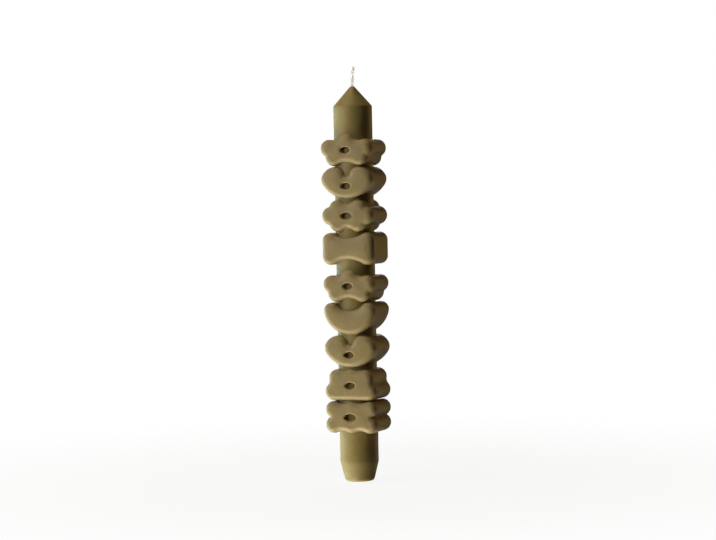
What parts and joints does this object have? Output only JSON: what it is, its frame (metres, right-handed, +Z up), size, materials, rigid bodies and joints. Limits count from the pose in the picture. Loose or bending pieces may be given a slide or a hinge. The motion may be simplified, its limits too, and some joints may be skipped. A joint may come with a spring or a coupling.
{
  "type": "taper candle",
  "caption": "Round wax taper candle with a narrowed foot for a candlestick, a cone tip, an exposed cotton wick and puffy wax forms raised round its shaft.",
  "frame": {"origin": "centre of the foot's underside, on the candle's axis", "axes": "+Z up along the candle's axis towards the wick; the forms' broad faces look along -Y (front) and +Y; the forms are widest along X"},
  "size_m": [0.032, 0.028, 0.2393],
  "materials": {
    "column_wax": "soft satin wax, slightly translucent, smooth as turned or dipped",
    "form_wax": "soft satin wax with the faint unevenness of a moulded relief",
    "cotton_wick": "unburnt braided cotton"
  },
  "bodies": {
    "root": {"wax_column": "column_wax", "wick": "cotton_wick", "form_1_blossom": "form_wax", "form_2_cloud": "form_wax", "form_3_heart": "form_wax", "form_4_moon": "form_wax", "form_5_star": "form_wax", "form_6_bow": "form_wax", "form_7_flower": "form_wax", "form_8_heart": "form_wax", "form_9_star": "form_wax"}
  },
  "joints": []
}
